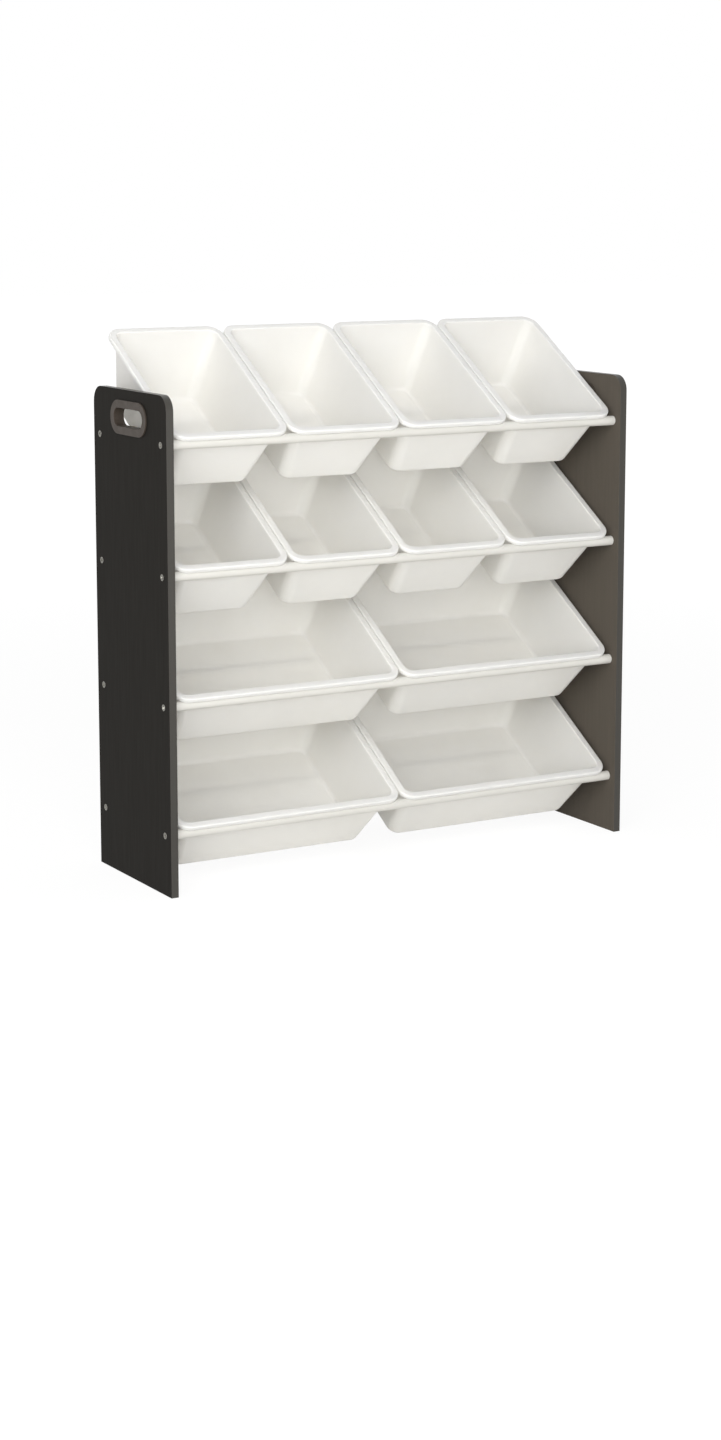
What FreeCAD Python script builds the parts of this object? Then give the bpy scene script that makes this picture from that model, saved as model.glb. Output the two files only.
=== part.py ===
"""Toy storage organizer: two side panels, four tiers of paired rods and twelve tilted bins.

Millimetres. X runs from the left side to the right side, Y from the front to the back and Z up.
The origin lies on the floor, in the middle of the organizer's outline seen from above.
Each piece is written to parts/NODE.step.

A bin is modelled in its own frame first: its origin is the front rod's axis, X runs along the rod,
Y runs backwards along the rim and Z is square to the rim. The bin is then tilted about the rod.
"""
import FreeCAD
import Part
import math
import os

from FreeCAD import Vector

# ---------------------------------------------------------------- driving dimensions

# Side panels
PANEL_DEPTH = 263.0
PANEL_THICKNESS = 12.7
PANEL_ABOVE_TOP_ROD = 76.8
PANEL_TOP_CORNER = 25.4
PANEL_EDGE_ROUND = 1.2

# Rods: two in each tier, at one height
ROD_SPAN = 836.0
ROD_DIAMETER = 16.0
ROD_WALL = 1.2
ROD_EDGE_INSET = 21.0
LOWEST_ROD_HEIGHT = 96.5
TIER_PITCH = 204.7
BINS_PER_TIER = (4, 4, 2, 2)

# End plugs of the rods
PLUG_COLLAR = 4.0
PLUG_COLLAR_ROUND = 1.0
PLUG_SPIGOT = 24.0
PLUG_CLEARANCE = 0.1

# Screws
SCREW_DIAMETER = 5.0
SCREW_HEAD_DIAMETER = 11.0
SCREW_HEAD_ANGLE = 90.0
SCREW_GRIP = 17.0
SCREW_CLEARANCE = 0.1
RECESS_LENGTH = 6.0
RECESS_WIDTH = 1.5
RECESS_DEPTH = 2.2

# Carrying handles
SLOT_LENGTH = 103.0
SLOT_HEIGHT = 29.0
SLOT_BELOW_TOP = 44.0
HANDLE_RING_WIDTH = 12.5
HANDLE_RING_PROUD = 2.6
HANDLE_RING_ROUND = 1.4
HANDLE_SLEEVE_WALL = 2.2
HANDLE_CLEARANCE = 0.2

# Bins
BIN_LENGTH = 294.0
BIN_DEPTH = 124.0
BIN_WALL = 2.0
BIN_GAP = 1.2
BIN_END_GAP = 6.2
BIN_END_DRAFT = 11.0
BIN_SIDE_DRAFT = 9.2
BIN_SEAT = 0.3
BIN_FLOOR_ROUND = 7.0
RIM_WIDTH = 12.0
RIM_DROP = 7.0
RIM_CORNER = 26.0
RIM_ROUND = 1.6
RIM_LIP_ROUND = 0.8

# ---------------------------------------------------------------- derived places

TIERS = len(BINS_PER_TIER)
TOP_ROD_HEIGHT = LOWEST_ROD_HEIGHT + (TIERS - 1) * TIER_PITCH
PANEL_HEIGHT = TOP_ROD_HEIGHT + PANEL_ABOVE_TOP_ROD
ROD_RADIUS = ROD_DIAMETER / 2
ROD_SPACING = PANEL_DEPTH - 2 * ROD_EDGE_INSET
INNER_FACE = ROD_SPAN / 2
OUTER_FACE = INNER_FACE + PANEL_THICKNESS

# The floor rests on the rear rod and the rim's drop on the front rod, which sets the tilt.
BIN_TILT = math.degrees(math.asin((BIN_DEPTH - RIM_DROP) / ROD_SPACING))
BIN_SEAT_RADIUS = ROD_RADIUS + BIN_SEAT
RIM_TOP = BIN_SEAT_RADIUS + RIM_DROP
FLOOR_UNDERSIDE = RIM_TOP - BIN_DEPTH
RIM_SHELF = RIM_WIDTH - BIN_WALL
BODY_CORNER = RIM_CORNER - RIM_SHELF
END_SLOPE = math.tan(math.radians(BIN_END_DRAFT))
SIDE_SLOPE = math.tan(math.radians(BIN_SIDE_DRAFT))
# The front wall leans on the front rod: its outer face is tangent to the seat circle.
FRONT_WALL_AT_RIM = BIN_SEAT_RADIUS / math.cos(math.radians(BIN_END_DRAFT)) - RIM_TOP * END_SLOPE
BACK_WALL_AT_RIM = FRONT_WALL_AT_RIM + BIN_LENGTH - 2 * RIM_SHELF

UP = Vector(0, 0, 1)
ACROSS = Vector(1, 0, 0)
SAME_PLACE = 1e-4


def rod_height(tier):
    """Height of a tier's rods. Tier 1 is the top one."""
    return TOP_ROD_HEIGHT - (tier - 1) * TIER_PITCH


# ---------------------------------------------------------------- outlines

def rounded_rectangle(x_low, x_high, y_low, y_high, radius, z):
    """A closed wire at height z: four straight sides joined by four quarter circles."""
    edges = []
    corners = (
        (x_high - radius, y_low + radius, -90),
        (x_high - radius, y_high - radius, 0),
        (x_low + radius, y_high - radius, 90),
        (x_low + radius, y_low + radius, 180),
    )
    ends = []
    for x, y, start in corners:
        points = []
        for degrees in (start, start + 45, start + 90):
            turn = math.radians(degrees)
            points.append(Vector(x + radius * math.cos(turn), y + radius * math.sin(turn), z))
        ends.append(points)
    for index, points in enumerate(ends):
        edges.append(Part.Arc(*points).toShape())
        following = ends[(index + 1) % len(ends)][0]
        edges.append(Part.LineSegment(points[2], following).toShape())
    return Part.Wire(edges)


def stadium(length, height, x):
    """A face across X at x: a slot outline along Y with full round ends, centred on Y and Z."""
    radius = height / 2
    reach = length / 2 - radius
    top_front = Vector(x, -reach, radius)
    top_back = Vector(x, reach, radius)
    low_back = Vector(x, reach, -radius)
    low_front = Vector(x, -reach, -radius)
    edges = [
        Part.LineSegment(top_front, top_back).toShape(),
        Part.Arc(top_back, Vector(x, reach + radius, 0), low_back).toShape(),
        Part.LineSegment(low_back, low_front).toShape(),
        Part.Arc(low_front, Vector(x, -reach - radius, 0), top_front).toShape(),
    ]
    return Part.Face(Part.Wire(edges))


def stadium_block(length, height, x_low, x_high):
    """The solid between two stadium faces."""
    return stadium(length, height, x_low).extrude(ACROSS * (x_high - x_low))


def edges_at(shape, axis, value):
    """The edges that lie wholly in the plane where the coordinate x, y or z has this value."""
    found = []
    for edge in shape.Edges:
        points = edge.discretize(5)
        if all(abs(getattr(point, axis) - value) < SAME_PLACE for point in points):
            found.append(edge)
    return found


# ---------------------------------------------------------------- frame pieces

def rod_places():
    """The (y, z) of every rod's axis, as (tier, row, y, z)."""
    places = []
    for tier in range(1, TIERS + 1):
        for row, y in (("front", -ROD_SPACING / 2), ("rear", ROD_SPACING / 2)):
            places.append((tier, row, y, rod_height(tier)))
    return places


def screw_body(growth):
    """A countersunk screw along +X with its head's flat face at x = 0, grown all round."""
    head_radius = SCREW_HEAD_DIAMETER / 2 + growth
    shank_radius = SCREW_DIAMETER / 2 + growth
    head_depth = (head_radius - shank_radius) / math.tan(math.radians(SCREW_HEAD_ANGLE / 2))
    head = Part.makeCone(head_radius, shank_radius, head_depth, Vector(0, 0, 0), ACROSS)
    length = PANEL_THICKNESS + SCREW_GRIP + growth
    shank = Part.makeCylinder(shank_radius, length, Vector(0, 0, 0), ACROSS)
    return head.fuse(shank).removeSplitter()


def screw():
    """The screw with its cross recess."""
    body = screw_body(0)
    for size_y, size_z in ((RECESS_LENGTH, RECESS_WIDTH), (RECESS_WIDTH, RECESS_LENGTH)):
        corner = Vector(0, -size_y / 2, -size_z / 2)
        body = body.cut(Part.makeBox(RECESS_DEPTH, size_y, size_z, corner))
    return body


def set_on_left(shape, y, z):
    """Move a shape made at x = 0 to the left panel's outer face, at this place."""
    placed = shape.copy()
    placed.translate(Vector(-OUTER_FACE, y, z))
    return placed


def mirrored(shape):
    """The same piece for the other side."""
    return shape.mirror(Vector(0, 0, 0), ACROSS)


def left_panel():
    """The board with rounded top corners, eased edges, a handle slot and countersunk holes."""
    y_front = -PANEL_DEPTH / 2
    board = Part.makeBox(PANEL_THICKNESS, PANEL_DEPTH, PANEL_HEIGHT, Vector(-OUTER_FACE, y_front, 0))
    top_edges = edges_at(board, "z", PANEL_HEIGHT)
    top_corners = [edge for edge in top_edges if abs(abs(edge.CenterOfMass.y) + y_front) < SAME_PLACE]
    board = board.makeFillet(PANEL_TOP_CORNER, top_corners)
    face_edges = edges_at(board, "x", -OUTER_FACE) + edges_at(board, "x", -INNER_FACE)
    eased_edges = [edge for edge in face_edges if edge.CenterOfMass.z > SAME_PLACE]
    board = board.makeFillet(PANEL_EDGE_ROUND, eased_edges)
    sleeve_length = SLOT_LENGTH + 2 * HANDLE_SLEEVE_WALL
    sleeve_height = SLOT_HEIGHT + 2 * HANDLE_SLEEVE_WALL
    slot = stadium_block(
        sleeve_length + 2 * HANDLE_CLEARANCE,
        sleeve_height + 2 * HANDLE_CLEARANCE,
        0,
        PANEL_THICKNESS,
    )
    board = board.cut(set_on_left(slot, 0, PANEL_HEIGHT - SLOT_BELOW_TOP))
    hole = screw_body(SCREW_CLEARANCE)
    for _, _, y, z in rod_places():
        board = board.cut(set_on_left(hole, y, z))
    return board


def handle_ring(x_face, outwards):
    """A flat ring on a panel face at x_face, standing proud outwards (-1 or +1), with a soft outer edge."""
    length = SLOT_LENGTH + 2 * HANDLE_RING_WIDTH
    height = SLOT_HEIGHT + 2 * HANDLE_RING_WIDTH
    x_top = x_face + outwards * HANDLE_RING_PROUD
    plate = stadium_block(length, height, min(x_face, x_top), max(x_face, x_top))
    opening = stadium_block(SLOT_LENGTH, SLOT_HEIGHT, min(x_face, x_top), max(x_face, x_top))
    ring = plate.cut(opening)
    return ring.makeFillet(HANDLE_RING_ROUND, edges_at(ring, "x", x_top))


def left_handle_outer():
    """The outer ring with the sleeve that lines the slot right through the panel."""
    sleeve = stadium_block(
        SLOT_LENGTH + 2 * HANDLE_SLEEVE_WALL,
        SLOT_HEIGHT + 2 * HANDLE_SLEEVE_WALL,
        0,
        PANEL_THICKNESS,
    )
    sleeve = sleeve.cut(stadium_block(SLOT_LENGTH, SLOT_HEIGHT, 0, PANEL_THICKNESS))
    piece = handle_ring(0, -1).fuse(sleeve).removeSplitter()
    return set_on_left(piece, 0, PANEL_HEIGHT - SLOT_BELOW_TOP)


def left_handle_inner():
    """The inner ring, which closes on the end of the sleeve."""
    return set_on_left(handle_ring(PANEL_THICKNESS, 1), 0, PANEL_HEIGHT - SLOT_BELOW_TOP)


def rod(y, z):
    """A tube between the collars of its two end plugs."""
    length = ROD_SPAN - 2 * PLUG_COLLAR
    start = Vector(-length / 2, y, z)
    tube = Part.makeCylinder(ROD_RADIUS, length, start, ACROSS)
    return tube.cut(Part.makeCylinder(ROD_RADIUS - ROD_WALL, length, start, ACROSS))


def left_plug(y, z):
    """The collar against the panel and the spigot in the tube, bored for the screw."""
    collar = Part.makeCylinder(ROD_RADIUS, PLUG_COLLAR, Vector(0, 0, 0), ACROSS)
    collar = collar.makeFillet(PLUG_COLLAR_ROUND, edges_at(collar, "x", 0))
    spigot_radius = ROD_RADIUS - ROD_WALL - PLUG_CLEARANCE
    spigot = Part.makeCylinder(spigot_radius, PLUG_COLLAR + PLUG_SPIGOT, Vector(0, 0, 0), ACROSS)
    plug = collar.fuse(spigot)
    bore_radius = SCREW_DIAMETER / 2 + SCREW_CLEARANCE
    plug = plug.cut(Part.makeCylinder(bore_radius, SCREW_GRIP + SCREW_CLEARANCE, Vector(0, 0, 0), ACROSS))
    plug.translate(Vector(-INNER_FACE, y, z))
    return plug


# ---------------------------------------------------------------- bins

def wall_section(width, height, inset):
    """The bin wall's outline at a height in the bin's frame, inset from its outer face."""
    below_rim = RIM_TOP - height
    half = width / 2 - RIM_SHELF - below_rim * SIDE_SLOPE - inset
    front = FRONT_WALL_AT_RIM + below_rim * END_SLOPE + inset
    back = BACK_WALL_AT_RIM - below_rim * END_SLOPE - inset
    return rounded_rectangle(-half, half, front, back, BODY_CORNER - inset, height)


def rim_section(width, height, inset):
    """The rim's outline, inset from its outer face."""
    half = width / 2 - inset
    front = FRONT_WALL_AT_RIM - RIM_SHELF + inset
    back = BACK_WALL_AT_RIM + RIM_SHELF - inset
    return rounded_rectangle(-half, half, front, back, RIM_CORNER - inset, height)


def tapered_block(width, inset, underside, top, edge_round):
    """The solid inside the wall's outline between two heights, its bottom edge rounded."""
    sections = [wall_section(width, underside, inset), wall_section(width, top, inset)]
    block = Part.makeLoft(sections, True, True)
    return block.makeFillet(edge_round, edges_at(block, "z", underside))


def bin_shell(width):
    """A drafted tub with a flat rim that turns down at its outer edge, in the bin's own frame."""
    rim_underside = RIM_TOP - RIM_DROP
    rim = Part.Face(rim_section(width, rim_underside, 0)).extrude(UP * RIM_DROP)
    rim = rim.makeFillet(RIM_ROUND, edges_at(rim, "z", RIM_TOP))
    under_rim = Part.Face(rim_section(width, rim_underside, BIN_WALL)).extrude(UP * (RIM_DROP - BIN_WALL))
    tub = tapered_block(width, 0, FLOOR_UNDERSIDE, RIM_TOP - BIN_WALL / 2, BIN_FLOOR_ROUND)
    shell = rim.cut(under_rim).fuse(tub)
    hollow_floor = FLOOR_UNDERSIDE + BIN_WALL
    hollow = tapered_block(width, BIN_WALL, hollow_floor, RIM_TOP, BIN_FLOOR_ROUND - BIN_WALL / 2)
    shell = shell.cut(hollow).removeSplitter()
    # The lip is the mouth's own loop of edges: the rim's flat ends further out.
    half_mouth = width / 2 - RIM_WIDTH + SAME_PLACE
    front_mouth = FRONT_WALL_AT_RIM + BIN_WALL - SAME_PLACE
    back_mouth = BACK_WALL_AT_RIM - BIN_WALL + SAME_PLACE
    lip = []
    for edge in edges_at(shell, "z", RIM_TOP):
        middle = edge.CenterOfMass
        if abs(middle.x) < half_mouth and front_mouth < middle.y < back_mouth:
            lip.append(edge)
    return shell.makeFillet(RIM_LIP_ROUND, lip)


def bin_width(count):
    """The width of each of this many bins side by side between the panels."""
    return (ROD_SPAN - 2 * BIN_END_GAP - (count - 1) * BIN_GAP) / count


def seat_bin(shell, index, count, tier):
    """Tilt a bin about its front rod and move it to its place in the tier."""
    x = (index - (count - 1) / 2) * (bin_width(count) + BIN_GAP)
    placed = shell.copy()
    placed.rotate(Vector(0, 0, 0), ACROSS, BIN_TILT)
    placed.translate(Vector(x, -ROD_SPACING / 2, rod_height(tier)))
    return placed


# ---------------------------------------------------------------- the whole organizer

def frame_nodes():
    """Panels, handles, rods, plugs and screws, by node name."""
    nodes = {"left_panel": left_panel()}
    nodes["left_handle_outer"] = left_handle_outer()
    nodes["left_handle_inner"] = left_handle_inner()
    left_screws = [set_on_left(screw(), y, z) for _, _, y, z in rod_places()]
    nodes["left_screws"] = Part.makeCompound(left_screws)
    for name in list(nodes):
        nodes[name.replace("left", "right")] = mirrored(nodes[name])
    for tier, row, y, z in rod_places():
        nodes[f"tier_{tier}_{row}_rod"] = rod(y, z)
        plug = left_plug(y, z)
        nodes[f"tier_{tier}_{row}_plugs"] = Part.makeCompound([plug, mirrored(plug)])
    return nodes


def bin_nodes():
    """All bins, by node name. Bins are numbered from the left."""
    nodes = {}
    shells = {count: bin_shell(bin_width(count)) for count in set(BINS_PER_TIER)}
    for tier, count in enumerate(BINS_PER_TIER, start=1):
        for index in range(count):
            nodes[f"tier_{tier}_bin_{index + 1}"] = seat_bin(shells[count], index, count, tier)
    return nodes


def back_reach():
    """How far the organizer reaches behind the middle of its panels: to the bins' lower back edges."""
    round_height = FLOOR_UNDERSIDE + BIN_FLOOR_ROUND
    wall = BACK_WALL_AT_RIM - (RIM_TOP - round_height) * END_SLOPE
    round_middle = wall - BIN_FLOOR_ROUND / math.cos(math.radians(BIN_END_DRAFT))
    tilt = math.radians(BIN_TILT)
    bins = round_middle * math.cos(tilt) - round_height * math.sin(tilt) + BIN_FLOOR_ROUND - ROD_SPACING / 2
    return max(bins, PANEL_DEPTH / 2)


def organizer():
    """Every node, moved so that the origin is the middle of the whole outline on the floor."""
    nodes = {**frame_nodes(), **bin_nodes()}
    to_middle = Vector(0, (PANEL_DEPTH / 2 - back_reach()) / 2, 0)
    for shape in nodes.values():
        shape.translate(to_middle)
    return nodes


def main():
    os.makedirs("parts", exist_ok=True)
    for name, shape in organizer().items():
        shape.exportStep(f"parts/{name}.step")


if __name__ == "__main__":
    main()
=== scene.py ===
"""Dresses the toy storage organizer: panels, hand-slot inserts, rods, plugs, screws and bins.

Metres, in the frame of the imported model: X to the right, Y to the back and Z up, with the origin on
the floor. A bin is modelled in its own frame first: the origin is the front rod's axis, X runs along
the rod, Y backwards along the rim and Z square to the rim. It is then tilted about that rod.
"""

import bmesh
import bpy
import math

from bpy.props import FloatProperty, FloatVectorProperty, IntProperty, PointerProperty
from mathutils import Matrix, Vector


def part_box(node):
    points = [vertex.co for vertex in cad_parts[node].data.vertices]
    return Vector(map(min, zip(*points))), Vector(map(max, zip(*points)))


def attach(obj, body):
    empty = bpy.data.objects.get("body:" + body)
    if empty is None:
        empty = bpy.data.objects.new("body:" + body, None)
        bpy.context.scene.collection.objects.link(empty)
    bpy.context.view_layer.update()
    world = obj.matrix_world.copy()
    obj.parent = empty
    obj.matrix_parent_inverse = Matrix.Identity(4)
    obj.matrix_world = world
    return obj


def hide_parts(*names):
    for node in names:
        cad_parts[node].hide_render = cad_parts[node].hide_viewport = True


bl_info = {
    "name": "Toy storage organizer",
    "version": (1, 0, 0),
    "blender": (4, 5, 0),
    "location": "3D View > Sidebar > Organizer",
    "description": "Models the pieces of a toy storage organizer with bins around its frame",
    "category": "Object",
}

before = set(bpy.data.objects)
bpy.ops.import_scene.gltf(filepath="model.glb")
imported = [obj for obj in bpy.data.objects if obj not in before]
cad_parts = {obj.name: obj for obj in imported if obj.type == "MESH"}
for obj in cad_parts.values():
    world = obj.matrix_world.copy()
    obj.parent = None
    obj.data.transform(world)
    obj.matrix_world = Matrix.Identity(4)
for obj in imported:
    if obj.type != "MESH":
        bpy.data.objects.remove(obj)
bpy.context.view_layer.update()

MM = 0.001
TINY = 1e-5
ROOT_BODY = "frame"
SIDES = ("left", "right")
ROWS = ("front", "rear")
BIN_NODES = sorted(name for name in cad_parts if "_bin_" in name)
TIERS = sorted({name.split("_")[1] for name in BIN_NODES})
ACROSS = (0, math.pi / 2, 0)
# Edges that turn by more than this are eased.
SHARP_ANGLE = math.radians(60)
# Facets in a quarter turn.
BOARD_STEPS = 14
INSERT_STEPS = 20
BIN_STEPS = 12
# A board's finishes, in the order of its material slots. The inner face's slot holds the outer face's
# melamine with painted light from the white bins in its lighter colour.
OUTER_FINISH, INNER_PAINTED_LIGHT, EDGE_FINISH = range(3)
# How far the floor's middle is lit up towards white, and how bright that white is.
FLOOR_WHITENING = 0.86
FLOOR_WHITE = 1.06


# ---------------------------------------------------------------- places read from the frame

def linear_rgb(hex_code):
    """The linear colour of an sRGB hex value."""
    channels = [int(hex_code[start:start + 2], 16) / 255 for start in (1, 3, 5)]
    return [c / 12.92 if c <= 0.04045 else ((c + 0.055) / 1.055) ** 2.4 for c in channels]


def opaque(hex_code):
    """The linear colour with full alpha, as a shader socket takes it."""
    return (*linear_rgb(hex_code), 1.0)


def node_size(node):
    """A node's lengths along X, Y and Z."""
    low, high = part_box(node)
    return high - low


def node_middle(node):
    """The middle of a node's box."""
    low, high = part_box(node)
    return (low + high) / 2


def rod_axis(tier, row):
    """The middle of a rod's axis."""
    return node_middle(f"tier_{tier}_{row}_rod")


ROD_RADIUS = node_size("tier_1_front_rod").z / 2
ROD_SPACING = rod_axis(1, "rear").y - rod_axis(1, "front").y
INNER_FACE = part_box("right_panel")[0].x
OUTER_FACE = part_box("right_panel")[1].x
BOARD_THICKNESS = OUTER_FACE - INNER_FACE


# ---------------------------------------------------------------- settings

class StageSettings(bpy.types.PropertyGroup):
    camera_place: FloatVectorProperty(
        name="Camera place", description="Where the camera stands", default=(-2.1815, -3.7391, 1.1100),
        subtype="TRANSLATION", unit="LENGTH")
    camera_turn: FloatProperty(
        name="Camera turn", description="How far the camera looks to the right of straight back",
        default=math.radians(30.23), subtype="ANGLE", unit="ROTATION")
    camera_dip: FloatProperty(
        name="Camera dip", description="How far the camera looks down",
        default=math.radians(9.22), subtype="ANGLE", unit="ROTATION")
    focal_length: FloatProperty(
        name="Focal length", description="Focal length on a 36 mm frame height", default=65.6, unit="CAMERA")
    frame_rise: FloatProperty(
        name="Frame rise", description="How far the frame is shifted up, as a share of its height",
        default=-0.0785)
    floor_colour: FloatVectorProperty(
        name="Floor colour", description="Colour of the studio floor", default=linear_rgb("#f4f3f0"),
        subtype="COLOR", min=0, max=1)
    floor_size: FloatProperty(
        name="Floor size", description="Side of the studio floor", default=40.0, unit="LENGTH")
    room_light: FloatProperty(
        name="Room light", description="Strength of the even light from all round", default=0.5, min=0)
    left_power: FloatProperty(
        name="Left lamp", description="Power of the large lamp in front on the left", default=104.0,
        unit="POWER")
    low_power: FloatProperty(
        name="Low lamp", description="Power of the low lamp in front", default=30.0, unit="POWER")


class PanelSettings(bpy.types.PropertyGroup):
    corner: FloatProperty(
        name="Top corner", description="Radius of the board's two top corners", default=25.4 * MM,
        unit="LENGTH")
    edge_round: FloatProperty(
        name="Edge round", description="Radius of the eased edges", default=0.9 * MM, unit="LENGTH")
    slot_length: FloatProperty(
        name="Slot length", description="Length of the hand slot's opening", default=103 * MM, unit="LENGTH")
    slot_height: FloatProperty(
        name="Slot height", description="Height of the hand slot's opening", default=29 * MM, unit="LENGTH")
    sleeve_wall: FloatProperty(
        name="Sleeve wall", description="Wall of the sleeve that lines the slot", default=2.2 * MM,
        unit="LENGTH")
    sleeve_gap: FloatProperty(
        name="Sleeve gap", description="Gap between the sleeve and the board", default=0.2 * MM,
        unit="LENGTH")
    insert_round: FloatProperty(
        name="Insert round", description="Radius of the insert's edges", default=1.3 * MM, unit="LENGTH")
    outer_colour: FloatVectorProperty(
        name="Outer colour", description="Colour of the board's outer face", default=linear_rgb("#23211e"),
        subtype="COLOR", min=0, max=1)
    # Painted light: the inner face is the same black-brown melamine as the outer face, and this lighter
    # colour stands in for the light the white bins throw on it.
    inner_painted_light_colour: FloatVectorProperty(
        name="Inner colour", description="Colour of the board's inner face, towards the bins",
        default=linear_rgb("#5b554d"), subtype="COLOR", min=0, max=1)
    edge_colour: FloatVectorProperty(
        name="Edge colour", description="Colour of the band on the board's narrow edges",
        default=linear_rgb("#33302a"), subtype="COLOR", min=0, max=1)
    insert_colour: FloatVectorProperty(
        name="Insert colour", description="Colour of the hand slot's insert", default=linear_rgb("#423a33"),
        subtype="COLOR", min=0, max=1)


class RodSettings(bpy.types.PropertyGroup):
    wall: FloatProperty(
        name="Tube wall", description="Wall of the steel tube", default=1.2 * MM, unit="LENGTH")
    sides: IntProperty(
        name="Sides", description="Facets round a rod", default=64, min=16)
    collar_round: FloatProperty(
        name="Collar round", description="Radius of the end plug's edge", default=1.0 * MM, unit="LENGTH")
    end_ease: FloatProperty(
        name="End ease", description="Radius of the tube's cut edges", default=0.25 * MM, unit="LENGTH")
    spigot: FloatProperty(
        name="Spigot", description="How far the end plug goes into the tube", default=24 * MM, unit="LENGTH")
    spigot_gap: FloatProperty(
        name="Spigot gap", description="Gap between the spigot and the tube", default=0.1 * MM,
        unit="LENGTH")
    coat_colour: FloatVectorProperty(
        name="Coat colour", description="Colour of the rods' powder coat", default=linear_rgb("#d3d1ca"),
        subtype="COLOR", min=0, max=1)
    plug_colour: FloatVectorProperty(
        name="Plug colour", description="Colour of the end plugs", default=linear_rgb("#dad8d2"),
        subtype="COLOR", min=0, max=1)


class ScrewSettings(bpy.types.PropertyGroup):
    head: FloatProperty(
        name="Head", description="Diameter of the countersunk head", default=11 * MM, unit="LENGTH")
    shank: FloatProperty(
        name="Shank", description="Diameter of the shank", default=5 * MM, unit="LENGTH")
    ring: FloatProperty(
        name="Ring", description="Gap round the head in its countersink", default=0.8 * MM, unit="LENGTH")
    shank_gap: FloatProperty(
        name="Shank gap", description="Gap between the shank and its hole", default=0.1 * MM, unit="LENGTH")
    head_ease: FloatProperty(
        name="Head ease", description="Radius of the head's rim", default=0.35 * MM, unit="LENGTH")
    sides: IntProperty(
        name="Sides", description="Facets round a screw", default=48, min=16)
    recess: FloatProperty(
        name="Recess", description="Length of the cross recess", default=7.0 * MM, unit="LENGTH")
    recess_width: FloatProperty(
        name="Recess width", description="Width of the cross recess", default=2.3 * MM, unit="LENGTH")
    recess_depth: FloatProperty(
        name="Recess depth", description="Depth of the cross recess, less its tip", default=2.4 * MM,
        unit="LENGTH")
    metal_colour: FloatVectorProperty(
        name="Metal colour", description="Colour of the zinc plating", default=linear_rgb("#8f8d86"),
        subtype="COLOR", min=0, max=1)


class BinSettings(bpy.types.PropertyGroup):
    length: FloatProperty(
        name="Length", description="Length of the rim from front to back", default=294 * MM, unit="LENGTH")
    depth: FloatProperty(
        name="Depth", description="From the rim's top to the floor's underside", default=124 * MM,
        unit="LENGTH")
    wall: FloatProperty(
        name="Wall", description="Thickness of the moulded wall", default=2 * MM, unit="LENGTH")
    rim_width: FloatProperty(
        name="Rim width", description="From the rim's outer edge to the mouth", default=12 * MM,
        unit="LENGTH")
    rim_drop: FloatProperty(
        name="Rim drop", description="How far the rim turns down", default=7 * MM, unit="LENGTH")
    rim_corner: FloatProperty(
        name="Rim corner", description="Radius of the rim's outer corners", default=26 * MM, unit="LENGTH")
    rim_round: FloatProperty(
        name="Rim round", description="Radius of the rim's top outer edge", default=2.4 * MM, unit="LENGTH")
    lip_round: FloatProperty(
        name="Lip round", description="Radius of the rim's edge at the mouth", default=1.6 * MM,
        unit="LENGTH")
    edge_ease: FloatProperty(
        name="Edge ease", description="Radius of the rim's free edges", default=0.45 * MM, unit="LENGTH")
    floor_corner: FloatProperty(
        name="Floor corner", description="Radius of the hollow's corners at its floor", default=17 * MM,
        unit="LENGTH")
    floor_round: FloatProperty(
        name="Floor round", description="Radius between wall and floor", default=6 * MM, unit="LENGTH")
    end_draft: FloatProperty(
        name="End draft", description="Slope of the front and back walls", default=math.radians(11.0),
        subtype="ANGLE", unit="ROTATION")
    side_draft: FloatProperty(
        name="Side draft", description="Slope of the side walls", default=math.radians(9.2),
        subtype="ANGLE", unit="ROTATION")
    seat: FloatProperty(
        name="Seat gap", description="Gap between a bin and the rod it rests on", default=0.3 * MM,
        unit="LENGTH")
    plastic_colour: FloatVectorProperty(
        name="Plastic colour", description="Colour of the bins", default=linear_rgb("#edebe5"),
        subtype="COLOR", min=0, max=1)


# ---------------------------------------------------------------- small tools

def start_alone():
    """Nothing selected, in object mode."""
    if bpy.context.mode != "OBJECT":
        bpy.ops.object.mode_set(mode="OBJECT")
    bpy.ops.object.select_all(action="DESELECT")


def pick(piece):
    """Make this piece the only selected one, and the active one."""
    start_alone()
    piece.select_set(True)
    bpy.context.view_layer.objects.active = piece


def select_only(piece, kind, wanted):
    """In edit mode, select just the vertices, edges or faces that the test accepts."""
    bpy.ops.mesh.select_mode(type=kind)
    bpy.ops.mesh.select_all(action="DESELECT")
    mesh = bmesh.from_edit_mesh(piece.data)
    items = {"VERT": mesh.verts, "EDGE": mesh.edges, "FACE": mesh.faces}[kind]
    for item in items:
        if wanted(item):
            item.select_set(True)
    mesh.select_flush_mode()
    bmesh.update_edit_mesh(piece.data)


def at_height(edge, height):
    """Whether an edge lies at this height."""
    return all(abs(vert.co.z - height) < TINY for vert in edge.verts)


def apply_modifier(piece, kind, **settings):
    """Add a modifier with these settings and apply it."""
    pick(piece)
    modifier = piece.modifiers.new(kind.title(), kind)
    for name, value in settings.items():
        setattr(modifier, name, value)
    bpy.ops.object.modifier_apply(modifier=modifier.name)


def ease_edges(piece, radius, segments):
    """Round the piece's sharp edges."""
    apply_modifier(
        piece, "BEVEL", width=radius, segments=segments, limit_method="ANGLE", angle_limit=SHARP_ANGLE)


def apply_place(piece):
    """Move the piece's place into its mesh, so that its object sits at the origin."""
    pick(piece)
    bpy.ops.object.transform_apply(location=True, rotation=True, scale=True)


def copy_of(piece, name, matrix):
    """A copy with its own mesh, placed by the matrix."""
    duplicate = piece.copy()
    duplicate.data = piece.data.copy()
    duplicate.data.transform(matrix)
    duplicate.name = duplicate.data.name = name
    bpy.context.collection.objects.link(duplicate)
    return duplicate


def discard(piece):
    """Remove a pattern piece once its copies are made."""
    bpy.data.objects.remove(piece)


def join(pieces, name):
    """Join pieces into one object."""
    pick(pieces[0])
    for piece in pieces[1:]:
        piece.select_set(True)
    bpy.ops.object.join()
    pieces[0].name = pieces[0].data.name = name
    return pieces[0]


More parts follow.
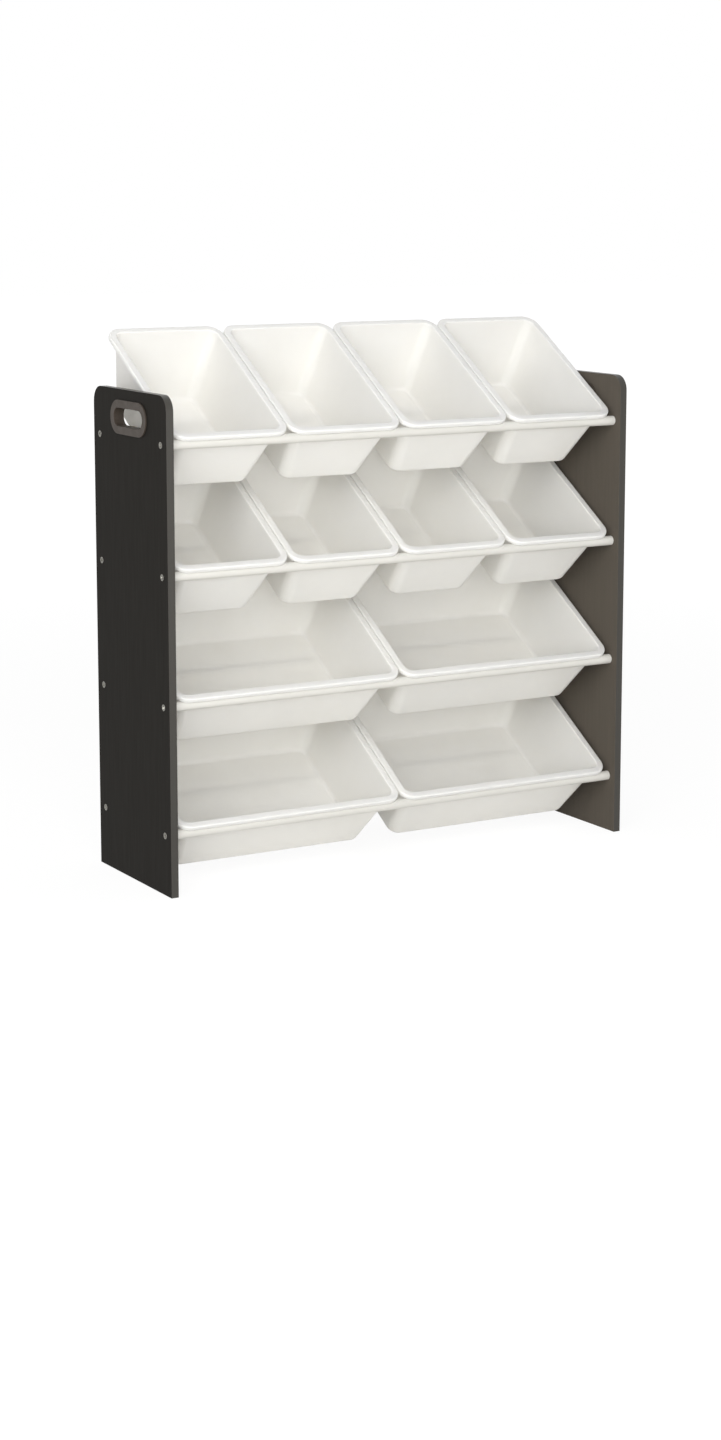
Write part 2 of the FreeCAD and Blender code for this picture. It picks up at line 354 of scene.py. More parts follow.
def smooth(piece, angle=35):
    """Shade smooth, with sharp edges where faces meet at more than the angle in degrees. Large flat
    faces keep their own normals, so that only the rounds between them bend the light."""
    pick(piece)
    bpy.ops.object.shade_smooth_by_angle(angle=math.radians(angle))
    apply_modifier(piece, "WEIGHTED_NORMAL", keep_sharp=True)


def block(middle, size):
    """A plain block with its size in its mesh, left in edit mode to be shaped."""
    start_alone()
    bpy.ops.mesh.primitive_cube_add(size=1, location=middle)
    solid = bpy.context.object
    solid.scale = size
    bpy.ops.object.transform_apply(location=True, rotation=False, scale=True)
    bpy.ops.object.mode_set(mode="EDIT")
    return solid


def outline_plate(name, width, length, middle, corner):
    """A flat face with rounded corners at a place, left in edit mode and selected."""
    start_alone()
    bpy.ops.mesh.primitive_plane_add(size=1, location=middle)
    plate = bpy.context.object
    plate.name = plate.data.name = name
    plate.scale = (width, length, 1)
    bpy.ops.object.transform_apply(location=True, rotation=False, scale=True)
    bpy.ops.object.mode_set(mode="EDIT")
    bpy.ops.mesh.select_all(action="SELECT")
    bpy.ops.mesh.bevel(offset=corner, segments=BIN_STEPS, affect="VERTICES", clamp_overlap=False)
    return plate


def dress(piece, node, body, material):
    """Give a piece its material, and let it stand for a node on a body."""
    piece.data.materials.clear()
    piece.data.materials.append(material)
    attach(piece, body)
    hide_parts(node)


# ---------------------------------------------------------------- materials

def add_node(tree, kind, inputs=None, **settings):
    """Add a node, set its properties, and fill or link its inputs."""
    node = tree.nodes.new(kind)
    for name, value in settings.items():
        setattr(node, name, value)
    for name, value in (inputs or {}).items():
        if isinstance(value, bpy.types.NodeSocket):
            tree.links.new(value, node.inputs[name])
        else:
            node.inputs[name].default_value = value
    return node


def new_material(name):
    """A material with an empty tree but for its output. Returns it with its tree and object coordinates."""
    material = bpy.data.materials.new(name)
    material.use_nodes = True
    tree = material.node_tree
    tree.nodes.clear()
    coordinates = add_node(tree, "ShaderNodeTexCoord")
    return material, tree, coordinates.outputs["Object"]


def finish_material(tree, shader):
    """Link the shader to the material's output."""
    add_node(tree, "ShaderNodeOutputMaterial", {"Surface": shader.outputs[0]})


def per_metre(size_mm):
    """The noise scale whose grain has this real size."""
    return 1 / (size_mm * MM)


def varied(tree, noise, low, high):
    """A noise spread between two values."""
    spread = add_node(
        tree, "ShaderNodeMapRange",
        {"Value": noise.outputs["Fac"], "From Min": 0.3, "From Max": 0.7, "To Min": low, "To Max": high})
    return spread.outputs["Result"]


def tinted(tree, noise, colour, other):
    """A colour that wanders towards another with a noise."""
    mix = add_node(
        tree, "ShaderNodeMix", {"Factor": varied(tree, noise, 0, 1), "A": (*colour, 1), "B": (*other, 1)},
        data_type="RGBA")
    return mix.outputs["Result"]


def shaded(colour, share):
    """A colour made darker or lighter by a share."""
    return [channel * share for channel in colour]


def polypropylene(colour):
    """White polypropylene, injection moulded: milky, so light bleeds a little through its thin wall,
    satin, with a fine moulded grain and faint clouding from the melt's flow."""
    material, tree, place = new_material("moulded_white_polypropylene")
    clouds = add_node(tree, "ShaderNodeTexNoise", {"Vector": place, "Scale": per_metre(90), "Detail": 3})
    grain = add_node(tree, "ShaderNodeTexNoise", {"Vector": place, "Scale": per_metre(1.2), "Detail": 2})
    sink = add_node(tree, "ShaderNodeTexNoise", {"Vector": place, "Scale": per_metre(70), "Detail": 1})
    waves = add_node(
        tree, "ShaderNodeBump", {"Height": sink.outputs["Fac"], "Strength": 0.15, "Distance": 0.6 * MM})
    bump = add_node(
        tree, "ShaderNodeBump",
        {"Height": grain.outputs["Fac"], "Strength": 0.12, "Distance": 0.06 * MM, "Normal": waves.outputs[0]})
    shader = add_node(
        tree, "ShaderNodeBsdfPrincipled",
        {"Base Color": tinted(tree, clouds, colour, shaded(colour, 0.965)),
         "Roughness": varied(tree, grain, 0.36, 0.46), "IOR": 1.49, "Subsurface Weight": 1.0,
         "Subsurface Radius": (1.0, 0.98, 0.95), "Subsurface Scale": 5 * MM, "Normal": bump.outputs[0]})
    finish_material(tree, shader)
    return material


def melamine_board(name, colour):
    """Black-brown melamine paper on fibreboard, pressed against a matt plate: nearly dull, with a faint
    stretched grain and a very fine pebble that breaks up what shine it has."""
    material, tree, place = new_material(name)
    stretched = add_node(tree, "ShaderNodeMapping", {"Vector": place, "Scale": (1, 1, 0.06)})
    streaks = add_node(
        tree, "ShaderNodeTexNoise", {"Vector": stretched.outputs[0], "Scale": per_metre(5), "Detail": 5})
    pebble = add_node(tree, "ShaderNodeTexNoise", {"Vector": place, "Scale": per_metre(0.9), "Detail": 2})
    streak_bump = add_node(
        tree, "ShaderNodeBump", {"Height": streaks.outputs["Fac"], "Strength": 0.05, "Distance": 0.05 * MM})
    bump = add_node(
        tree, "ShaderNodeBump",
        {"Height": pebble.outputs["Fac"], "Strength": 0.20, "Distance": 0.05 * MM,
         "Normal": streak_bump.outputs[0]})
    shader = add_node(
        tree, "ShaderNodeBsdfPrincipled",
        {"Base Color": tinted(tree, streaks, colour, shaded(colour, 0.94)),
         "Roughness": varied(tree, streaks, 0.56, 0.62), "IOR": 1.4, "Specular IOR Level": 0.06,
         "Normal": bump.outputs[0]})
    finish_material(tree, shader)
    return material


def edge_band(colour):
    """ABS tape glued on the board's narrow edges and scraped flush: smoother than the pressed faces, so
    it catches the light along the front and shows fine scraper marks."""
    material, tree, place = new_material("scraped_abs_edge_band")
    stretched = add_node(tree, "ShaderNodeMapping", {"Vector": place, "Scale": (1, 0.04, 0.04)})
    marks = add_node(
        tree, "ShaderNodeTexNoise", {"Vector": stretched.outputs[0], "Scale": per_metre(1.6), "Detail": 3})
    bump = add_node(
        tree, "ShaderNodeBump", {"Height": marks.outputs["Fac"], "Strength": 0.1, "Distance": 0.04 * MM})
    shader = add_node(
        tree, "ShaderNodeBsdfPrincipled",
        {"Base Color": tinted(tree, marks, colour, shaded(colour, 0.9)),
         "Roughness": varied(tree, marks, 0.34, 0.42), "IOR": 1.52, "Specular IOR Level": 0.5,
         "Normal": bump.outputs[0]})
    finish_material(tree, shader)
    return material


def moulded_insert(colour):
    """Charcoal polypropylene, moulded against a spark-eroded tool: dull, with an even fine grain."""
    material, tree, place = new_material("moulded_charcoal_polypropylene")
    grain = add_node(tree, "ShaderNodeTexNoise", {"Vector": place, "Scale": per_metre(0.7), "Detail": 3})
    wear = add_node(tree, "ShaderNodeTexNoise", {"Vector": place, "Scale": per_metre(14), "Detail": 4})
    bump = add_node(
        tree, "ShaderNodeBump", {"Height": grain.outputs["Fac"], "Strength": 0.35, "Distance": 0.08 * MM})
    shader = add_node(
        tree, "ShaderNodeBsdfPrincipled",
        {"Base Color": tinted(tree, wear, colour, shaded(colour, 0.88)),
         "Roughness": varied(tree, wear, 0.46, 0.56), "IOR": 1.49, "Specular IOR Level": 0.3,
         "Normal": bump.outputs[0]})
    finish_material(tree, shader)
    return material


def powder_coat(colour):
    """White powder coat baked on steel tube: smooth satin with the slight orange peel of the cured film."""
    material, tree, place = new_material("white_powder_coat")
    peel = add_node(tree, "ShaderNodeTexNoise", {"Vector": place, "Scale": per_metre(1.8), "Detail": 1})
    film = add_node(tree, "ShaderNodeTexNoise", {"Vector": place, "Scale": per_metre(60), "Detail": 3})
    bump = add_node(
        tree, "ShaderNodeBump", {"Height": peel.outputs["Fac"], "Strength": 0.25, "Distance": 0.05 * MM})
    shader = add_node(
        tree, "ShaderNodeBsdfPrincipled",
        {"Base Color": tinted(tree, film, colour, shaded(colour, 0.96)),
         "Roughness": varied(tree, film, 0.30, 0.38), "IOR": 1.5, "Normal": bump.outputs[0]})
    finish_material(tree, shader)
    return material


def moulded_plug(colour):
    """White polyethylene, moulded: a waxy satin that is a touch warmer than the coated rod."""
    material, tree, place = new_material("moulded_white_polyethylene")
    grain = add_node(tree, "ShaderNodeTexNoise", {"Vector": place, "Scale": per_metre(0.8), "Detail": 2})
    bump = add_node(
        tree, "ShaderNodeBump", {"Height": grain.outputs["Fac"], "Strength": 0.2, "Distance": 0.04 * MM})
    shader = add_node(
        tree, "ShaderNodeBsdfPrincipled",
        {"Base Color": tinted(tree, grain, colour, shaded(colour, 0.95)),
         "Roughness": varied(tree, grain, 0.38, 0.46), "IOR": 1.51, "Subsurface Weight": 0.2,
         "Subsurface Radius": (1.0, 0.95, 0.9), "Subsurface Scale": 2 * MM, "Normal": bump.outputs[0]})
    finish_material(tree, shader)
    return material


def zinc_plate(colour):
    """Bright zinc plating on a cold-headed steel screw: a slightly uneven metal shine with turning marks."""
    material, tree, place = new_material("bright_zinc_plate")
    blotches = add_node(tree, "ShaderNodeTexNoise", {"Vector": place, "Scale": per_metre(2.2), "Detail": 3})
    marks = add_node(tree, "ShaderNodeTexNoise", {"Vector": place, "Scale": per_metre(0.35), "Detail": 2})
    bump = add_node(
        tree, "ShaderNodeBump", {"Height": marks.outputs["Fac"], "Strength": 0.2, "Distance": 0.03 * MM})
    shader = add_node(
        tree, "ShaderNodeBsdfPrincipled",
        {"Base Color": tinted(tree, blotches, colour, shaded(colour, 0.8)), "Metallic": 1.0,
         "Roughness": varied(tree, blotches, 0.24, 0.36), "Normal": bump.outputs[0]})
    finish_material(tree, shader)
    return material


def seen_as_background(tree):
    """1 for rays from the camera, and for those in which metal or glass shows the background; else 0."""
    path = add_node(tree, "ShaderNodeLightPath")
    seen = path.outputs["Is Camera Ray"]
    for ray in ("Is Glossy Ray", "Is Transmission Ray"):
        either = add_node(tree, "ShaderNodeMath", {0: seen, 1: path.outputs[ray]}, operation="MAXIMUM")
        seen = either.outputs[0]
    return seen


def studio_floor(colour):
    """Matt white paper. The camera and mirror-like surfaces see it lit up towards white, which keeps a
    faint part of the object's shadow and meets the white background without an edge."""
    material, tree, place = new_material("studio_paper")
    distance = add_node(tree, "ShaderNodeVectorMath", {0: place}, operation="LENGTH")
    whitening = add_node(
        tree, "ShaderNodeMapRange",
        {"Value": distance.outputs["Value"], "From Min": 1.0, "From Max": 6.0,
         "To Min": FLOOR_WHITENING, "To Max": 1.0},
        interpolation_type="SMOOTHSTEP")
    share = add_node(
        tree, "ShaderNodeMath", {0: seen_as_background(tree), 1: whitening.outputs["Result"]},
        operation="MULTIPLY")
    paper = add_node(tree, "ShaderNodeBsdfDiffuse", {"Color": (*colour, 1)})
    white = add_node(tree, "ShaderNodeEmission", {"Color": opaque("#ffffff"), "Strength": FLOOR_WHITE})
    mix = add_node(
        tree, "ShaderNodeMixShader", {"Fac": share.outputs[0], 1: paper.outputs[0], 2: white.outputs[0]})
    finish_material(tree, mix)
    return material


# ---------------------------------------------------------------- operators

class ORGANIZER_OT_stage(bpy.types.Operator):
    """Add the floor, the even room light, two large lamps and the camera"""
    bl_idname = "organizer.stage"
    bl_label = "Stage"

    def execute(self, context):
        stage = context.scene.organizer_stage
        self.add_floor(stage)
        self.add_room_light(context.scene, stage)
        self.add_lamps(stage)
        self.add_camera(context.scene, stage)
        context.scene.view_settings.view_transform = "Standard"
        return {"FINISHED"}

    def add_floor(self, stage):
        start_alone()
        bpy.ops.mesh.primitive_plane_add(size=stage.floor_size)
        floor = bpy.context.object
        floor.name = "studio_floor"
        floor.data.materials.append(studio_floor(stage.floor_colour))

    def add_room_light(self, scene, stage):
        world = bpy.data.worlds.new("studio_room")
        scene.world = world
        world.use_nodes = True
        tree = world.node_tree
        tree.nodes.clear()
        room = add_node(
            tree, "ShaderNodeBackground", {"Color": opaque("#fafbff"), "Strength": stage.room_light})
        white = add_node(tree, "ShaderNodeBackground", {"Color": opaque("#ffffff"), "Strength": 1.0})
        mix = add_node(
            tree, "ShaderNodeMixShader",
            {"Fac": seen_as_background(tree), 1: room.outputs[0], 2: white.outputs[0]})
        add_node(tree, "ShaderNodeOutputWorld", {"Surface": mix.outputs[0]})

    def add_lamps(self, stage):
        target = Vector((0, 0, 0.45))
        lamps = (
            ("left_lamp", Vector((-2.3, -2.9, 1.8)), 2.8, stage.left_power),
            ("low_lamp", Vector((-0.6, -3.0, 0.5)), 2.0, stage.low_power),
        )
        for name, place, size, power in lamps:
            start_alone()
            bpy.ops.object.light_add(type="AREA", location=place)
            lamp = bpy.context.object
            lamp.name = lamp.data.name = name
            lamp.data.size = size
            lamp.data.energy = power
            lamp.rotation_euler = (target - place).to_track_quat("-Z", "Y").to_euler()

    def add_camera(self, scene, stage):
        start_alone()
        turn = (math.pi / 2 - stage.camera_dip, 0, -stage.camera_turn)
        bpy.ops.object.camera_add(location=stage.camera_place, rotation=turn)
        camera = bpy.context.object
        camera.data.lens = stage.focal_length
        camera.data.shift_y = stage.frame_rise
        camera.data.clip_end = 100
        scene.camera = camera


class ORGANIZER_OT_panels(bpy.types.Operator):
    """Model the two side boards with rounded top corners, a slot and countersunk holes"""
    bl_idname = "organizer.panels"
    bl_label = "Side panels"

    def execute(self, context):
        panel = context.scene.organizer_panel
        screw = context.scene.organizer_screw
        outer = melamine_board("pressed_melamine_outer_face", panel.outer_colour)
        # The inner face gets the outer face's melamine in a lighter colour: painted light from the white bins
        # beside it.
        inner = melamine_board("pressed_melamine_inner_face_painted_light", panel.inner_painted_light_colour)
        edges = edge_band(panel.edge_colour)
        for side in SIDES:
            node = f"{side}_panel"
            board = self.board(node, panel)
            cut_out(board, slot_cutter(node, panel))
            for place in screw_places(side):
                cut_out(board, screw_cutter(side, place, screw))
            ease_edges(board, panel.edge_round, 3)
            smooth(board)
            board.name = f"{side}_side_board"
            dress(board, node, ROOT_BODY, outer)
            board.data.materials.append(inner)
            board.data.materials.append(edges)
            for face in board.data.polygons:
                face.material_index = board_finish(face.normal.x * inwards(side))
        return {"FINISHED"}

    def board(self, node, panel):
        """A board as large as its node, with its two top corners rounded."""
        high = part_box(node)[1]
        board = block(node_middle(node), node_size(node))
        select_only(board, "EDGE", lambda edge: (
            at_height(edge, high.z) and abs(edge.verts[0].co.y - edge.verts[1].co.y) < TINY))
        bpy.ops.mesh.bevel(offset=panel.corner, segments=BOARD_STEPS, affect="EDGES")
        bpy.ops.object.mode_set(mode="OBJECT")
        return board


def board_finish(facing_in):
    """The finish of a board's face, by how far its normal points inwards. The inner face's finish is the
    outer melamine with painted light from the bins in its colour.
    """
    if abs(facing_in) < math.cos(SHARP_ANGLE):
        return EDGE_FINISH
    return INNER_PAINTED_LIGHT if facing_in > 0 else OUTER_FINISH


def cut_out(piece, cutter):
    """Cut one solid out of another and remove the cutter."""
    apply_modifier(piece, "BOOLEAN", object=cutter, operation="DIFFERENCE", solver="EXACT")
    discard(cutter)


def stadium_solid(middle, length, height, thickness, steps):
    """A block with full round ends, its length along Y and its thickness along X."""
    stadium = block(middle, (thickness, length, height))
    select_only(stadium, "EDGE", lambda edge: abs(edge.verts[0].co.x - edge.verts[1].co.x) > TINY)
    bpy.ops.mesh.bevel(offset=height / 2 - TINY, segments=steps, affect="EDGES")
    bpy.ops.object.mode_set(mode="OBJECT")
    return stadium


def slot_cutter(node, panel):
    """The hole that the insert's sleeve fits, past both faces of the board."""
    middle = node_middle(f"{node.split('_')[0]}_handle_outer")
    middle.x = node_middle(node).x
    growth = 2 * (panel.sleeve_wall + panel.sleeve_gap)
    return stadium_solid(
        middle, panel.slot_length + growth, panel.slot_height + growth, 2 * BOARD_THICKNESS, BOARD_STEPS)


def screw_places(side):
    """The middle of each screw's head on a side's outer face."""
    x = -OUTER_FACE if side == "left" else OUTER_FACE
    return [Vector((x, rod_axis(tier, row).y, rod_axis(tier, row).z)) for tier in TIERS for row in ROWS]


def inwards(side):
    """The sign of X that points into a panel from its outer face."""
    return 1 if side == "left" else -1


def screw_cutter(side, place, screw):
    """The countersink and shank hole of one screw. The drill left the countersink a little wide, which
    shows as a dark ring round the head."""
    head = screw.head / 2 + screw.ring
    shank = screw.shank / 2 + screw.shank_gap
    # The cutter stands this far out of the board, for a clean cut.
    proud = 0.5 * MM
    start_alone()
    cone_depth = head - shank + proud
    middle = place + Vector((inwards(side) * (cone_depth / 2 - proud), 0, 0))
    bpy.ops.mesh.primitive_cone_add(
        vertices=screw.sides, radius1=head + proud, radius2=shank, depth=cone_depth, location=middle,
        rotation=(0, inwards(side) * math.pi / 2, 0))
    cone = bpy.context.object
    bpy.ops.object.mode_set(mode="EDIT")
    select_only(cone, "FACE", lambda face: len(face.verts) > 4 and all(v.co.z > 0 for v in face.verts))
    bpy.ops.mesh.extrude_region_move(TRANSFORM_OT_translate={
        "value": (inwards(side) * 2 * BOARD_THICKNESS, 0, 0), "orient_type": "GLOBAL"})
    bpy.ops.object.mode_set(mode="OBJECT")
    apply_place(cone)
    return cone


class ORGANIZER_OT_handles(bpy.types.Operator):
    """Model the hand-slot inserts: an outer ring with its sleeve, and an inner ring"""
    bl_idname = "organizer.handles"
    bl_label = "Hand-slot inserts"

    def execute(self, context):
        panel = context.scene.organizer_panel
        material = moulded_insert(panel.insert_colour)
        for side in SIDES:
            for face in ("outer", "inner"):
                node = f"{side}_handle_{face}"
                ring = self.ring(node, side, face, panel)
                ring.name = f"{side}_slot_{face}_ring"
                dress(ring, node, ROOT_BODY, material)
        return {"FINISHED"}

    def ring(self, node, side, face, panel):
        """A flange on one face of the board; the outer one carries the sleeve through the slot."""
        low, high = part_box(node)
        board_low, board_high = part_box(f"{side}_panel")
        on_low_face = (face == "outer") == (side == "left")
        # The flange lies outside the board: below its low face or above its high one.
        flange_low, flange_high = (low.x, board_low.x) if on_low_face else (board_high.x, high.x)
        middle = (low + high) / 2
        middle.x = (flange_low + flange_high) / 2
        size = high - low
        flange = stadium_solid(middle, size.y, size.z, flange_high - flange_low, INSERT_STEPS)
        if face == "outer":
            board_middle = Vector(((board_low.x + board_high.x) / 2, middle.y, middle.z))
            growth = 2 * panel.sleeve_wall
            sleeve = stadium_solid(
                board_middle, panel.slot_length + growth, panel.slot_height + growth,
                BOARD_THICKNESS + TINY, INSERT_STEPS)
            apply_modifier(flange, "BOOLEAN", object=sleeve, operation="UNION", solver="EXACT")
            discard(sleeve)
        opening = stadium_solid(
            middle, panel.slot_length, panel.slot_height, 4 * BOARD_THICKNESS, INSERT_STEPS)
        cut_out(flange, opening)
        ease_edges(flange, panel.insert_round, 4)
        smooth(flange)
        return flange


class ORGANIZER_OT_rods(bpy.types.Operator):
    """Model the coated tubes and the plugs in their ends"""
    bl_idname = "organizer.rods"
    bl_label = "Rods and plugs"

    def execute(self, context):
        rods = context.scene.organizer_rod
        coat = powder_coat(rods.coat_colour)
        plastic = moulded_plug(rods.plug_colour)
        tube = self.tube(rods)
        plugs = self.plug_pair(rods)
        for tier in TIERS:
            for row in ROWS:
                name = f"tier_{tier}_{row}"
                place = Matrix.Translation(rod_axis(tier, row))
                rod = copy_of(tube, f"{name}_tube", place)
                dress(rod, f"{name}_rod", ROOT_BODY, coat)
                ends = copy_of(plugs, f"{name}_end_plugs", place)
                dress(ends, f"{name}_plugs", ROOT_BODY, plastic)
        discard(tube)
        discard(plugs)
        return {"FINISHED"}

    def tube(self, rods):
        """An open tube about the X axis, its ends slightly eased."""
        length = node_size("tier_1_front_rod").x
        start_alone()
        bpy.ops.mesh.primitive_cylinder_add(
            vertices=rods.sides, radius=ROD_RADIUS, depth=length, end_fill_type="NOTHING", rotation=ACROSS)
        tube = bpy.context.object
        apply_place(tube)
        apply_modifier(tube, "SOLIDIFY", thickness=rods.wall, offset=-1)
        ease_edges(tube, rods.end_ease, 2)
        smooth(tube)
        return tube

    def plug_pair(self, rods):
        """Both plugs of one rod: a collar with a soft edge at the panel and a spigot in the tube."""
        tube_end = node_size("tier_1_front_rod").x / 2
        collar = INNER_FACE - tube_end
        pair = []
        for sign in (-1, 1):
            start_alone()
            middle = (sign * (tube_end + collar / 2), 0, 0)
            bpy.ops.mesh.primitive_cylinder_add(
                vertices=rods.sides, radius=ROD_RADIUS, depth=collar, location=middle, rotation=ACROSS)
            plug = bpy.context.object
            apply_place(plug)
            bpy.ops.object.mode_set(mode="EDIT")
            # The spigot: the collar's end towards the tube, drawn in and pushed into it.
            select_only(plug, "FACE", lambda face: (
                all(abs(v.co.x - sign * tube_end) < TINY for v in face.verts)))
            bpy.ops.mesh.inset(thickness=rods.wall + rods.spigot_gap)
            bpy.ops.mesh.extrude_region_move(TRANSFORM_OT_translate={"value": (-sign * rods.spigot, 0, 0)})
            select_only(plug, "EDGE", lambda edge: (
                all(abs(v.co.x - sign * INNER_FACE) < TINY for v in edge.verts)))
            bpy.ops.mesh.bevel(offset=rods.collar_round, segments=4, affect="EDGES")
            bpy.ops.object.mode_set(mode="OBJECT")
            smooth(plug)
            pair.append(plug)
        return join(pair, "plug_pair")


class ORGANIZER_OT_screws(bpy.types.Operator):
    """Model the countersunk cross-recess screws through the side boards"""
    bl_idname = "organizer.screws"
    bl_label = "Screws"

    def execute(self, context):
        screw = context.scene.organizer_screw
        material = zinc_plate(screw.metal_colour)
        pattern = self.pattern(screw)
        for side in SIDES:
            turn = Matrix.Rotation(0 if side == "left" else math.pi, 4, "Z")
            copies = []
            for number, place in enumerate(screw_places(side)):
                # Each screw stopped at its own angle when it was driven home.
                driven = Matrix.Rotation(math.radians(37 * number + 10), 4, "X")
                matrix = Matrix.Translation(place) @ turn @ driven
                copies.append(copy_of(pattern, f"{side}_screw_{number}", matrix))
            dress(join(copies, f"{side}_screw_set"), f"{side}_screws", ROOT_BODY, material)
        discard(pattern)
        return {"FINISHED"}

    def pattern(self, screw):
        """One screw along +X with its head's face at x = 0."""
        head = screw.head / 2
        shank = screw.shank / 2
        cone_depth = head - shank
        length = node_size("left_screws").x
        start_alone()
        bpy.ops.mesh.primitive_cone_add(
            vertices=screw.sides, radius1=head, radius2=shank, depth=cone_depth,
            location=(cone_depth / 2, 0, 0), rotation=ACROSS)
        body = bpy.context.object
        apply_place(body)
        bpy.ops.object.mode_set(mode="EDIT")
        select_only(body, "FACE", lambda face: all(abs(v.co.x - cone_depth) < TINY for v in face.verts))
        bpy.ops.mesh.extrude_region_move(TRANSFORM_OT_translate={"value": (length - cone_depth, 0, 0)})
        select_only(body, "EDGE", lambda edge: all(abs(v.co.x) < TINY for v in edge.verts))
        bpy.ops.mesh.bevel(offset=screw.head_ease, segments=3, affect="EDGES")
        bpy.ops.object.mode_set(mode="OBJECT")
        for turn in (0, math.pi / 2):
            cut_out(body, self.recess_arm(screw, turn))
        smooth(body)
        return body

    def recess_arm(self, screw, turn):
        """One arm of the cross: a bar that narrows as it goes in."""
        start_alone()
        depth = screw.recess_depth
        bpy.ops.mesh.primitive_cube_add(size=1, location=(depth / 2, 0, 0), rotation=(turn, 0, 0))
        arm = bpy.context.object
        # A tenth of the depth stands out of the head's face for a clean cut, and a tenth is the tip.
        arm.scale = (depth * 1.2, screw.recess, screw.recess_width)
        apply_place(arm)
        bpy.ops.object.mode_set(mode="EDIT")
        select_only(arm, "FACE", lambda face: all(v.co.x > depth / 2 for v in face.verts))
        inner_end = (1, 0.45, 0.7)
        bpy.ops.transform.resize(value=inner_end, center_override=(depth, 0, 0))
        bpy.ops.object.mode_set(mode="OBJECT")
        return arm


class ORGANIZER_OT_bins(bpy.types.Operator):
    """Model one bin of each width and seat a copy on every pair of rods"""
    bl_idname = "organizer.bins"
    bl_label = "Bins"

    def execute(self, context):
        bin_settings = context.scene.organizer_bin
        material = polypropylene(bin_settings.plastic_colour)
        tilt = math.asin((bin_settings.depth - bin_settings.rim_drop) / ROD_SPACING)
        patterns = {}
        for node in BIN_NODES:
            width = round(node_size(node).x, 4)
            if width not in patterns:
                patterns[width] = bin_pattern(bin_settings, width)
            place = rod_axis(node.split("_")[1], "front")
            place.x = node_middle(node).x
            matrix = Matrix.Translation(place) @ Matrix.Rotation(tilt, 4, "X")
            tub = copy_of(patterns[width], node.replace("_bin_", "_tub_"), matrix)
            dress(tub, node, f"{node}_body", material)
        for pattern in patterns.values():
            discard(pattern)
        return {"FINISHED"}


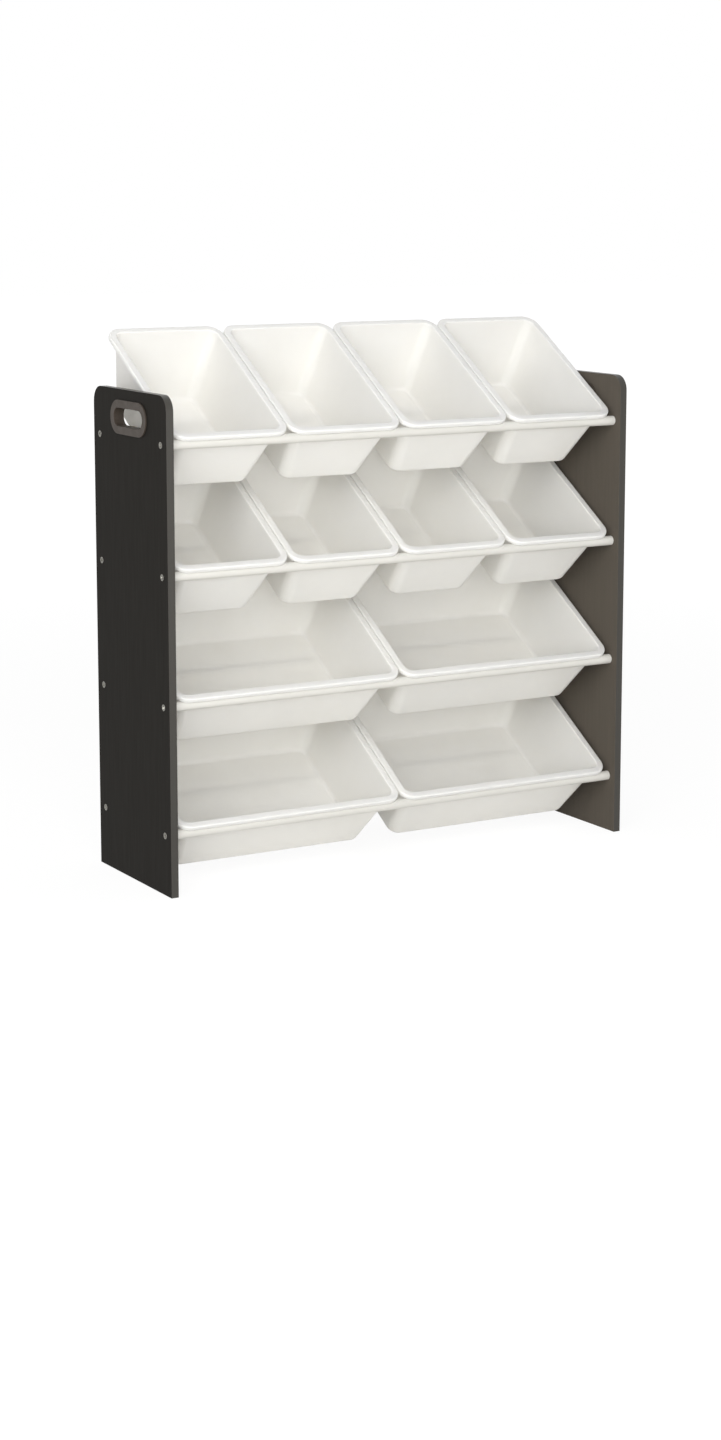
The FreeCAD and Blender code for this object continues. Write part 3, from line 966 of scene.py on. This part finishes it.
def bin_pattern(settings, width):
    """A moulded tub in its own frame: one skin from the rim's free edge over the rim, down into the
    hollow and across its floor, which is then given the wall's thickness outwards."""
    seat_radius = ROD_RADIUS + settings.seat
    rim_top = seat_radius + settings.rim_drop
    end_slope = math.tan(settings.end_draft)
    side_slope = math.tan(settings.side_draft)
    wall_at_rim = seat_radius / math.cos(settings.end_draft) - rim_top * end_slope
    front = wall_at_rim - (settings.rim_width - settings.wall)
    middle_y = front + settings.length / 2
    floor_top = rim_top - settings.depth + settings.wall
    fall = rim_top - floor_top
    mouth_width = width - 2 * settings.rim_width
    mouth_length = settings.length - 2 * settings.rim_width
    # The rim: its free edge, its top and the mouth.
    rim = outline_plate(
        "rim", width, settings.length, (0, middle_y, rim_top - settings.rim_drop), settings.rim_corner)
    bpy.ops.mesh.extrude_region_move(TRANSFORM_OT_translate={"value": (0, 0, settings.rim_drop)})
    bpy.ops.mesh.inset(thickness=settings.rim_width)
    bpy.ops.mesh.delete(type="FACE")
    select_only(rim, "FACE", lambda face: all(v.co.z < rim_top - TINY for v in face.verts))
    bpy.ops.mesh.delete(type="FACE")
    bpy.ops.object.mode_set(mode="OBJECT")
    # The hollow's floor, joined to the mouth by the drafted walls.
    floor = outline_plate(
        "floor", mouth_width - 2 * fall * side_slope, mouth_length - 2 * fall * end_slope,
        (0, middle_y, floor_top), settings.floor_corner)
    bpy.ops.object.mode_set(mode="OBJECT")
    tub = join([rim, floor], "tub")
    bpy.ops.object.mode_set(mode="EDIT")
    half_width = mouth_width / 2 + TINY
    half_length = mouth_length / 2 + TINY

    def in_mouth(edge):
        return all(abs(v.co.x) < half_width and abs(v.co.y - middle_y) < half_length for v in edge.verts)

    select_only(tub, "EDGE", lambda edge: (
        at_height(edge, floor_top) or at_height(edge, rim_top) and in_mouth(edge)))
    bpy.ops.mesh.bridge_edge_loops()
    # Every turn of the skin is rounded before it gets its thickness.
    for height, radius, inside in (
        (rim_top, settings.rim_round, False),
        (rim_top, settings.lip_round, True),
        (floor_top, settings.floor_round, True),
    ):
        select_only(tub, "EDGE", lambda edge: (
            at_height(edge, height) and len(edge.link_faces) == 2 and inside == in_mouth(edge)
            and edge.calc_face_angle(0) > math.radians(20)))
        bpy.ops.mesh.bevel(offset=radius, segments=4, affect="EDGES", offset_type="OFFSET")
    bpy.ops.mesh.select_all(action="SELECT")
    bpy.ops.mesh.remove_doubles(threshold=TINY)
    bpy.ops.mesh.normals_make_consistent(inside=False)
    bpy.ops.object.mode_set(mode="OBJECT")
    if face_points_down(tub, floor_top):
        pick(tub)
        bpy.ops.object.mode_set(mode="EDIT")
        bpy.ops.mesh.select_all(action="SELECT")
        bpy.ops.mesh.flip_normals()
        bpy.ops.object.mode_set(mode="OBJECT")
    apply_modifier(tub, "SOLIDIFY", thickness=settings.wall, offset=-1, use_even_offset=True)
    ease_edges(tub, settings.edge_ease, 2)
    smooth(tub, 40)
    return tub


def face_points_down(piece, height):
    """Whether the flat faces at a height point down."""
    floors = [face for face in piece.data.polygons if abs(face.center.z - height) < TINY]
    return max(floors, key=lambda face: face.area).normal.z < 0


# ---------------------------------------------------------------- panel and registration

OPERATORS = (
    ORGANIZER_OT_stage,
    ORGANIZER_OT_panels,
    ORGANIZER_OT_handles,
    ORGANIZER_OT_rods,
    ORGANIZER_OT_screws,
    ORGANIZER_OT_bins,
)


class ORGANIZER_PT_sidebar(bpy.types.Panel):
    """The organizer's pieces and their settings"""
    bl_idname = "ORGANIZER_PT_sidebar"
    bl_label = "Toy storage organizer"
    bl_space_type = "VIEW_3D"
    bl_region_type = "UI"
    bl_category = "Organizer"

    def draw(self, context):
        for operator in OPERATORS:
            self.layout.operator(operator.bl_idname)
        for name in SETTINGS:
            settings = getattr(context.scene, name)
            box = self.layout.box()
            for prop in settings.bl_rna.properties.keys():
                if prop not in ("rna_type", "name"):
                    box.prop(settings, prop)


SETTINGS = {
    "organizer_stage": StageSettings,
    "organizer_panel": PanelSettings,
    "organizer_rod": RodSettings,
    "organizer_screw": ScrewSettings,
    "organizer_bin": BinSettings,
}


def register():
    for name, group in SETTINGS.items():
        bpy.utils.register_class(group)
        setattr(bpy.types.Scene, name, PointerProperty(type=group))
    for operator in OPERATORS:
        bpy.utils.register_class(operator)
    bpy.utils.register_class(ORGANIZER_PT_sidebar)


def unregister():
    bpy.utils.unregister_class(ORGANIZER_PT_sidebar)
    for operator in reversed(OPERATORS):
        bpy.utils.unregister_class(operator)
    for name, group in reversed(SETTINGS.items()):
        delattr(bpy.types.Scene, name)
        bpy.utils.unregister_class(group)


def main():
    register()
    bpy.ops.organizer.stage()
    bpy.ops.organizer.panels()
    bpy.ops.organizer.handles()
    bpy.ops.organizer.rods()
    bpy.ops.organizer.screws()
    bpy.ops.organizer.bins()


if __name__ == "__main__":
    main()
